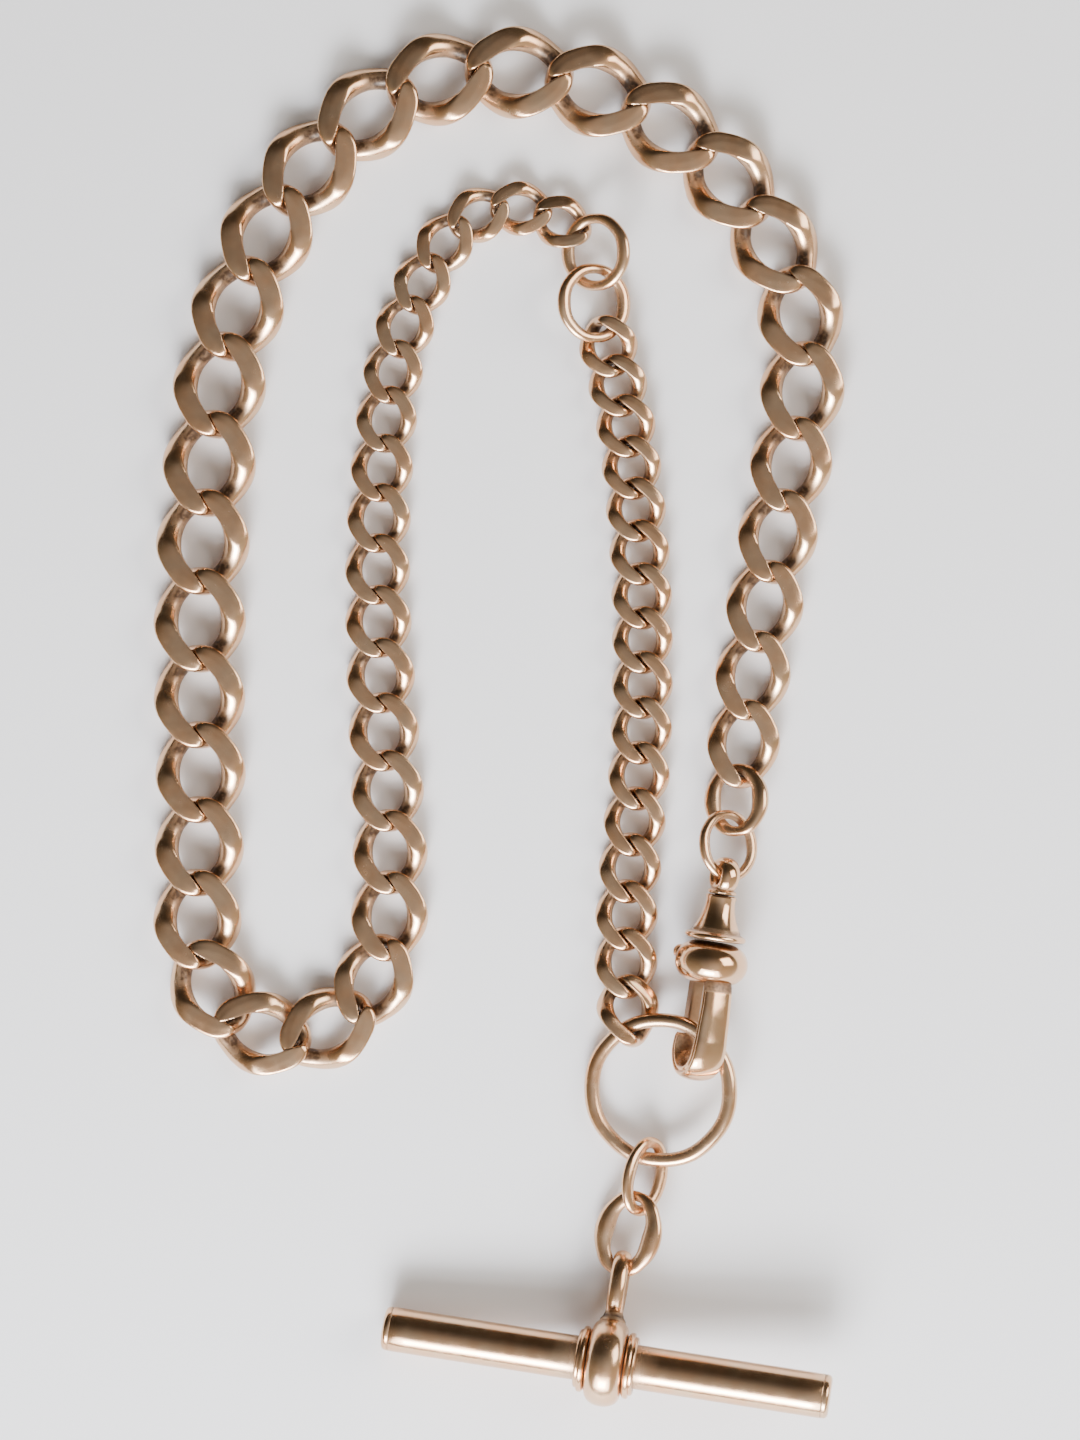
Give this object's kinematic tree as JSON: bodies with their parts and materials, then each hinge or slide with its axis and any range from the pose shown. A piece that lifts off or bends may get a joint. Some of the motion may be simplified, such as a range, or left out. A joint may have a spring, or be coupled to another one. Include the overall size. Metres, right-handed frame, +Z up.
{
  "type": "pocket watch chain",
  "caption": "Graduated curb-link double Albert watch chain with T-bar, sprung swivel clip, jump rings and big ring, laid out in a closed loop.",
  "frame": {"origin": "middle of the laid-out chain on the surface it lies on, at the bottom centre of its box", "axes": "+Z up from the surface, +Y from the T-bar towards the far end of the loop, +X towards the side with the swivel"},
  "size_m": [0.0641, 0.1284, 0.0082],
  "materials": {
    "short_chain_gold": "worn rose gold, satin, dark patina in the holes",
    "long_chain_gold": "worn rose gold, hand-polished flat facets, dark patina in the holes",
    "ring_gold": "worn rose gold wire, polished",
    "polished_gold": "bright worn rose gold",
    "t_bar_gold": "satin rose gold tube with fine scratches",
    "dark_gold": "tarnished rose gold",
    "gate_steel": "blued spring steel"
  },
  "bodies": {
    "big_ring": {"big_ring": "ring_gold"},
    "short_01_02": {"short_links_01_02": "short_chain_gold"},
    "short_03_04": {"short_links_03_04": "short_chain_gold"},
    "short_05_06": {"short_links_05_06": "short_chain_gold"},
    "short_07_08": {"short_links_07_08": "short_chain_gold"},
    "short_09_10": {"short_links_09_10": "short_chain_gold"},
    "short_11_12": {"short_links_11_12": "short_chain_gold"},
    "short_13_14": {"short_links_13_14": "short_chain_gold"},
    "short_15_16": {"short_links_15_16": "short_chain_gold"},
    "jump_ring_lower": {"jump_ring_lower": "ring_gold"},
    "jump_ring_upper": {"jump_ring_upper": "ring_gold"},
    "long_45_46": {"long_links_45_46": "long_chain_gold"},
    "long_43_44": {"long_links_43_44": "long_chain_gold"},
    "long_41_42": {"long_links_41_42": "long_chain_gold"},
    "long_39_40": {"long_links_39_40": "long_chain_gold"},
    "long_37_38": {"long_links_37_38": "long_chain_gold"},
    "long_35_36": {"long_links_35_36": "long_chain_gold"},
    "long_33_34": {"long_links_33_34": "long_chain_gold"},
    "long_31_32": {"long_links_31_32": "long_chain_gold"},
    "long_29_30": {"long_links_29_30": "long_chain_gold"},
    "long_28": {"long_link_28": "long_chain_gold"},
    "long_27": {"long_link_27": "long_chain_gold"},
    "long_26": {"long_link_26": "long_chain_gold"},
    "long_25": {"long_link_25": "long_chain_gold"},
    "long_24": {"long_link_24": "long_chain_gold"},
    "long_23": {"long_link_23": "long_chain_gold"},
    "long_22": {"long_link_22": "long_chain_gold"},
    "long_21": {"long_link_21": "long_chain_gold"},
    "long_20": {"long_link_20": "long_chain_gold"},
    "long_19": {"long_link_19": "long_chain_gold"},
    "long_18": {"long_link_18": "long_chain_gold"},
    "long_17": {"long_link_17": "long_chain_gold"},
    "long_16": {"long_link_16": "long_chain_gold"},
    "long_15": {"long_link_15": "long_chain_gold"},
    "long_14": {"long_link_14": "long_chain_gold"},
    "long_13": {"long_link_13": "long_chain_gold"},
    "long_12": {"long_link_12": "long_chain_gold"},
    "long_11": {"long_link_11": "long_chain_gold"},
    "long_10": {"long_link_10": "long_chain_gold"},
    "long_09": {"long_link_09": "long_chain_gold"},
    "long_07_08": {"long_links_07_08": "long_chain_gold"},
    "long_05_06": {"long_links_05_06": "long_chain_gold"},
    "long_03_04": {"long_links_03_04": "long_chain_gold"},
    "long_01_02": {"long_links_01_02": "long_chain_gold"},
    "end_oval": {"end_oval_link": "ring_gold"},
    "hook": {"swivel_hook": "polished_gold", "swivel_collar": "polished_gold", "swivel_barrel": "polished_gold", "gate_pin": "polished_gold", "gate_spring": "gate_steel"},
    "hook_gate": {"hook_gate": "dark_gold"},
    "swivel_eye": {"swivel_eye": "ring_gold"},
    "swivel_ring": {"swivel_ring": "ring_gold"},
    "drop_small": {"drop_link_small": "ring_gold"},
    "drop_large": {"drop_link_large": "ring_gold"},
    "t_bar_hanger": {"t_bar_eye": "t_bar_gold", "t_bar_band": "t_bar_gold"},
    "t_bar": {"t_bar_tube": "t_bar_gold", "t_bar_caps": "t_bar_gold", "t_bar_collars": "t_bar_gold"}
  },
  "joints": [
    {"name": "short_01_bend", "type": "hinge", "parent": "big_ring", "child": "short_01_02", "pos_m": [0.0124, -0.0295, 0.0012], "axis": [0, 0, 1], "range_deg": [-6, 6]},
    {"name": "short_03_bend", "type": "hinge", "parent": "short_01_02", "child": "short_03_04", "pos_m": [0.012, -0.02059, 0.0012], "axis": [0, 0, 1], "range_deg": [-6, 6]},
    {"name": "short_05_bend", "type": "hinge", "parent": "short_03_04", "child": "short_05_06", "pos_m": [0.01264, -0.01187, 0.0012], "axis": [0, 0, 1], "range_deg": [-12, 12]},
    {"name": "short_07_bend", "type": "hinge", "parent": "short_05_06", "child": "short_07_08", "pos_m": [0.01343, -0.00334, 0.0012], "axis": [0, 0, 1], "range_deg": [-10, 10]},
    {"name": "short_09_bend", "type": "hinge", "parent": "short_07_08", "child": "short_09_10", "pos_m": [0.0136, 0.00507, 0.0012], "axis": [0, 0, 1], "range_deg": [-13, 13]},
    {"name": "short_11_bend", "type": "hinge", "parent": "short_09_10", "child": "short_11_12", "pos_m": [0.01347, 0.01325, 0.0012], "axis": [0, 0, 1], "range_deg": [-7, 7]},
    {"name": "short_13_bend", "type": "hinge", "parent": "short_11_12", "child": "short_13_14", "pos_m": [0.01281, 0.02119, 0.0012], "axis": [0, 0, 1], "range_deg": [-12, 12]},
    {"name": "short_15_bend", "type": "hinge", "parent": "short_13_14", "child": "short_15_16", "pos_m": [0.01175, 0.02886, 0.0012], "axis": [0, 0, 1], "range_deg": [-12, 12]},
    {"name": "jump_ring_lower_bend", "type": "hinge", "parent": "short_15_16", "child": "jump_ring_lower", "pos_m": [0.00996, 0.03616, 0.0012], "axis": [0, 0, 1], "range_deg": [-13, 13]},
    {"name": "jump_ring_upper_bend", "type": "hinge", "parent": "jump_ring_lower", "child": "jump_ring_upper", "pos_m": [0.0092, 0.04055, 0.0012], "axis": [0, 0, 1], "range_deg": [-8, 8]},
    {"name": "long_46_bend", "type": "hinge", "parent": "jump_ring_upper", "child": "long_45_46", "pos_m": [0.00793, 0.04475, 0.0012], "axis": [0, 0, 1], "range_deg": [-4, 4]},
    {"name": "long_44_bend", "type": "hinge", "parent": "long_45_46", "child": "long_43_44", "pos_m": [0.00029, 0.04746, 0.0012], "axis": [0, 0, 1], "range_deg": [-11, 11]},
    {"name": "long_42_bend", "type": "hinge", "parent": "long_43_44", "child": "long_41_42", "pos_m": [-0.00593, 0.0422, 0.0012], "axis": [0, 0, 1], "range_deg": [-12, 12]},
    {"name": "long_40_bend", "type": "hinge", "parent": "long_41_42", "child": "long_39_40", "pos_m": [-0.00914, 0.03418, 0.0012], "axis": [0, 0, 1], "range_deg": [-6, 6]},
    {"name": "long_38_bend", "type": "hinge", "parent": "long_39_40", "child": "long_37_38", "pos_m": [-0.0104, 0.02537, 0.0012], "axis": [0, 0, 1], "range_deg": [-4, 4]},
    {"name": "long_36_bend", "type": "hinge", "parent": "long_37_38", "child": "long_35_36", "pos_m": [-0.01097, 0.01609, 0.0012], "axis": [0, 0, 1], "range_deg": [-11, 11]},
    {"name": "long_34_bend", "type": "hinge", "parent": "long_35_36", "child": "long_33_34", "pos_m": [-0.01081, 0.00639, 0.0012], "axis": [0, 0, 1], "range_deg": [-12, 12]},
    {"name": "long_32_bend", "type": "hinge", "parent": "long_33_34", "child": "long_31_32", "pos_m": [-0.01021, -0.00406, 0.0012], "axis": [0, 0, 1], "range_deg": [-6, 6]},
    {"name": "long_30_bend", "type": "hinge", "parent": "long_31_32", "child": "long_29_30", "pos_m": [-0.00971, -0.01543, 0.0012], "axis": [0, 0, 1], "range_deg": [-3, 3]},
    {"name": "long_28_bend", "type": "hinge", "parent": "long_29_30", "child": "long_28", "pos_m": [-0.01258, -0.02738, 0.0012], "axis": [0, 0, 1], "range_deg": [-7, 7]},
    {"name": "long_27_bend", "type": "hinge", "parent": "long_28", "child": "long_27", "pos_m": [-0.01855, -0.03042, 0.0012], "axis": [0, 0, 1], "range_deg": [-8, 8]},
    {"name": "long_26_bend", "type": "hinge", "parent": "long_27", "child": "long_26", "pos_m": [-0.02487, -0.0282, 0.0012], "axis": [0, 0, 1], "range_deg": [-4, 4]},
    {"name": "long_25_bend", "type": "hinge", "parent": "long_26", "child": "long_25", "pos_m": [-0.02767, -0.02212, 0.0012], "axis": [0, 0, 1], "range_deg": [-4, 4]},
    {"name": "long_24_bend", "type": "hinge", "parent": "long_25", "child": "long_24", "pos_m": [-0.02764, -0.01542, 0.0012], "axis": [0, 0, 1], "range_deg": [-5, 5]},
    {"name": "long_23_bend", "type": "hinge", "parent": "long_24", "child": "long_23", "pos_m": [-0.0273, -0.00861, 0.0012], "axis": [0, 0, 1], "range_deg": [-4, 4]},
    {"name": "long_22_bend", "type": "hinge", "parent": "long_23", "child": "long_22", "pos_m": [-0.02742, -0.00167, 0.0012], "axis": [0, 0, 1], "range_deg": [-8, 8]},
    {"name": "long_21_bend", "type": "hinge", "parent": "long_22", "child": "long_21", "pos_m": [-0.0275, 0.00539, 0.0012], "axis": [0, 0, 1], "range_deg": [-6, 6]},
    {"name": "long_20_bend", "type": "hinge", "parent": "long_21", "child": "long_20", "pos_m": [-0.02735, 0.01257, 0.0012], "axis": [0, 0, 1], "range_deg": [-5, 5]},
    {"name": "long_19_bend", "type": "hinge", "parent": "long_20", "child": "long_19", "pos_m": [-0.02693, 0.01986, 0.0012], "axis": [0, 0, 1], "range_deg": [-13, 13]},
    {"name": "long_18_bend", "type": "hinge", "parent": "long_19", "child": "long_18", "pos_m": [-0.02615, 0.02714, 0.0012], "axis": [0, 0, 1], "range_deg": [-12, 12]},
    {"name": "long_17_bend", "type": "hinge", "parent": "long_18", "child": "long_17", "pos_m": [-0.02503, 0.03439, 0.0012], "axis": [0, 0, 1], "range_deg": [-5, 5]},
    {"name": "long_16_bend", "type": "hinge", "parent": "long_17", "child": "long_16", "pos_m": [-0.02278, 0.0414, 0.0012], "axis": [0, 0, 1], "range_deg": [-5, 5]},
    {"name": "long_15_bend", "type": "hinge", "parent": "long_16", "child": "long_15", "pos_m": [-0.01963, 0.04808, 0.0012], "axis": [0, 0, 1], "range_deg": [-12, 12]},
    {"name": "long_14_bend", "type": "hinge", "parent": "long_15", "child": "long_14", "pos_m": [-0.0148, 0.05368, 0.0012], "axis": [0, 0, 1], "range_deg": [-12, 12]},
    {"name": "long_13_bend", "type": "hinge", "parent": "long_14", "child": "long_13", "pos_m": [-0.00883, 0.05814, 0.0012], "axis": [0, 0, 1], "range_deg": [-5, 5]},
    {"name": "long_12_bend", "type": "hinge", "parent": "long_13", "child": "long_12", "pos_m": [-0.00159, 0.06008, 0.0012], "axis": [0, 0, 1], "range_deg": [-5, 5]},
    {"name": "long_11_bend", "type": "hinge", "parent": "long_12", "child": "long_11", "pos_m": [0.00592, 0.05928, 0.0012], "axis": [0, 0, 1], "range_deg": [-8, 8]},
    {"name": "long_10_bend", "type": "hinge", "parent": "long_11", "child": "long_10", "pos_m": [0.01301, 0.05655, 0.0012], "axis": [0, 0, 1], "range_deg": [-5, 5]},
    {"name": "long_09_bend", "type": "hinge", "parent": "long_10", "child": "long_09", "pos_m": [0.01927, 0.05247, 0.0012], "axis": [0, 0, 1], "range_deg": [-12, 12]},
    {"name": "long_08_bend", "type": "hinge", "parent": "long_09", "child": "long_07_08", "pos_m": [0.02398, 0.04684, 0.0012], "axis": [0, 0, 1], "range_deg": [-6, 6]},
    {"name": "long_06_bend", "type": "hinge", "parent": "long_07_08", "child": "long_05_06", "pos_m": [0.02881, 0.03365, 0.0012], "axis": [0, 0, 1], "range_deg": [-3, 3]},
    {"name": "long_04_bend", "type": "hinge", "parent": "long_05_06", "child": "long_03_04", "pos_m": [0.02674, 0.02004, 0.0012], "axis": [0, 0, 1], "range_deg": [-2, 2]},
    {"name": "long_02_bend", "type": "hinge", "parent": "long_03_04", "child": "long_01_02", "pos_m": [0.02433, 0.00701, 0.0012], "axis": [0, 0, 1], "range_deg": [-4, 4]},
    {"name": "end_oval_bend", "type": "hinge", "parent": "long_01_02", "child": "end_oval", "pos_m": [0.0226, -0.0056, 0.0012], "axis": [0, 0, 1], "range_deg": [-3, 3]},
    {"name": "hook_swing", "type": "hinge", "parent": "big_ring", "child": "hook", "pos_m": [0.0186, -0.0306, 0.0025], "axis": [0, 0, 1], "range_deg": [-4, 4]},
    {"name": "gate_opens", "type": "hinge", "parent": "hook", "child": "hook_gate", "pos_m": [0.01928, -0.022, 0.00191], "axis": [0.8956, -0.1387, -0.4226], "range_deg": [0, 20], "stiffness_Nm_per_rad": 0.002, "springref_deg": -20.05},
    {"name": "eye_turns", "type": "hinge", "parent": "hook", "child": "swivel_eye", "pos_m": [0.02082, -0.01677, 0.00345], "axis": [0.153, 0.9882, 0], "range_deg": [-6, 6]},
    {"name": "swivel_ring_spins", "type": "hinge", "parent": "swivel_eye", "child": "swivel_ring", "pos_m": [0.0215, -0.0119, 0.0027], "axis": [0.6, 0.1269, 0.7899], "continuous": true},
    {"name": "drop_link_lifts", "type": "hinge", "parent": "big_ring", "child": "drop_small", "pos_m": [0.01442, -0.04105, 0.00179], "axis": [-0.9717, 0.1266, -0.1993], "range_deg": [0, 30]},
    {"name": "drop_links_fold", "type": "hinge", "parent": "drop_small", "child": "drop_large", "pos_m": [0.0127, -0.045, 0.0022], "axis": [-1, 0, 0], "range_deg": [0, 30]},
    {"name": "t_bar_swings", "type": "hinge", "parent": "drop_large", "child": "t_bar_hanger", "pos_m": [0.012, -0.0503, 0.0024], "axis": [0, 0, 1], "range_deg": [-18, 18]},
    {"name": "t_bar_rolls", "type": "hinge", "parent": "t_bar_hanger", "child": "t_bar", "pos_m": [0.0102, -0.0595, 0.00415], "axis": [0.9851, -0.1419, 0.0976], "continuous": true}
  ],
  "couplings": [
    {"joint": "short_01_bend", "follows": "short_05_bend", "ratio": -0.389},
    {"joint": "short_03_bend", "follows": "short_05_bend", "ratio": -0.389},
    {"joint": "short_07_bend", "follows": "short_05_bend", "ratio": 0.771},
    {"joint": "short_09_bend", "follows": "short_05_bend", "ratio": -0.993},
    {"joint": "short_11_bend", "follows": "short_13_bend", "ratio": -0.481},
    {"joint": "short_15_bend", "follows": "short_13_bend", "ratio": -0.908},
    {"joint": "jump_ring_lower_bend", "follows": "short_13_bend", "ratio": 0.997},
    {"joint": "jump_ring_upper_bend", "follows": "short_13_bend", "ratio": -0.608},
    {"joint": "long_46_bend", "follows": "long_42_bend", "ratio": 0.26},
    {"joint": "long_44_bend", "follows": "long_42_bend", "ratio": -0.811},
    {"joint": "long_40_bend", "follows": "long_42_bend", "ratio": -0.449},
    {"joint": "long_38_bend", "follows": "long_34_bend", "ratio": 0.226},
    {"joint": "long_36_bend", "follows": "long_34_bend", "ratio": -0.848},
    {"joint": "long_32_bend", "follows": "long_34_bend", "ratio": -0.377},
    {"joint": "long_30_bend", "follows": "long_27_bend", "ratio": 0.224},
    {"joint": "long_28_bend", "follows": "long_27_bend", "ratio": -0.791},
    {"joint": "long_26_bend", "follows": "long_27_bend", "ratio": -0.433},
    {"joint": "long_25_bend", "follows": "long_22_bend", "ratio": -0.414},
    {"joint": "long_24_bend", "follows": "long_22_bend", "ratio": 0.485},
    {"joint": "long_23_bend", "follows": "long_22_bend", "ratio": -0.412},
    {"joint": "long_21_bend", "follows": "long_22_bend", "ratio": -0.659},
    {"joint": "long_20_bend", "follows": "long_18_bend", "ratio": 0.326},
    {"joint": "long_19_bend", "follows": "long_18_bend", "ratio": -0.989},
    {"joint": "long_17_bend", "follows": "long_18_bend", "ratio": -0.337},
    {"joint": "long_16_bend", "follows": "long_14_bend", "ratio": 0.293},
    {"joint": "long_15_bend", "follows": "long_14_bend", "ratio": -0.931},
    {"joint": "long_13_bend", "follows": "long_14_bend", "ratio": -0.362},
    {"joint": "long_12_bend", "follows": "long_09_bend", "ratio": 0.364},
    {"joint": "long_11_bend", "follows": "long_09_bend", "ratio": -0.554},
    {"joint": "long_10_bend", "follows": "long_09_bend", "ratio": -0.366},
    {"joint": "long_08_bend", "follows": "long_09_bend", "ratio": -0.444},
    {"joint": "long_06_bend", "follows": "hook_swing", "ratio": -0.567},
    {"joint": "long_04_bend", "follows": "hook_swing", "ratio": -0.372},
    {"joint": "long_02_bend", "follows": "hook_swing", "ratio": 0.763},
    {"joint": "end_oval_bend", "follows": "hook_swing", "ratio": 0.519}
  ]
}
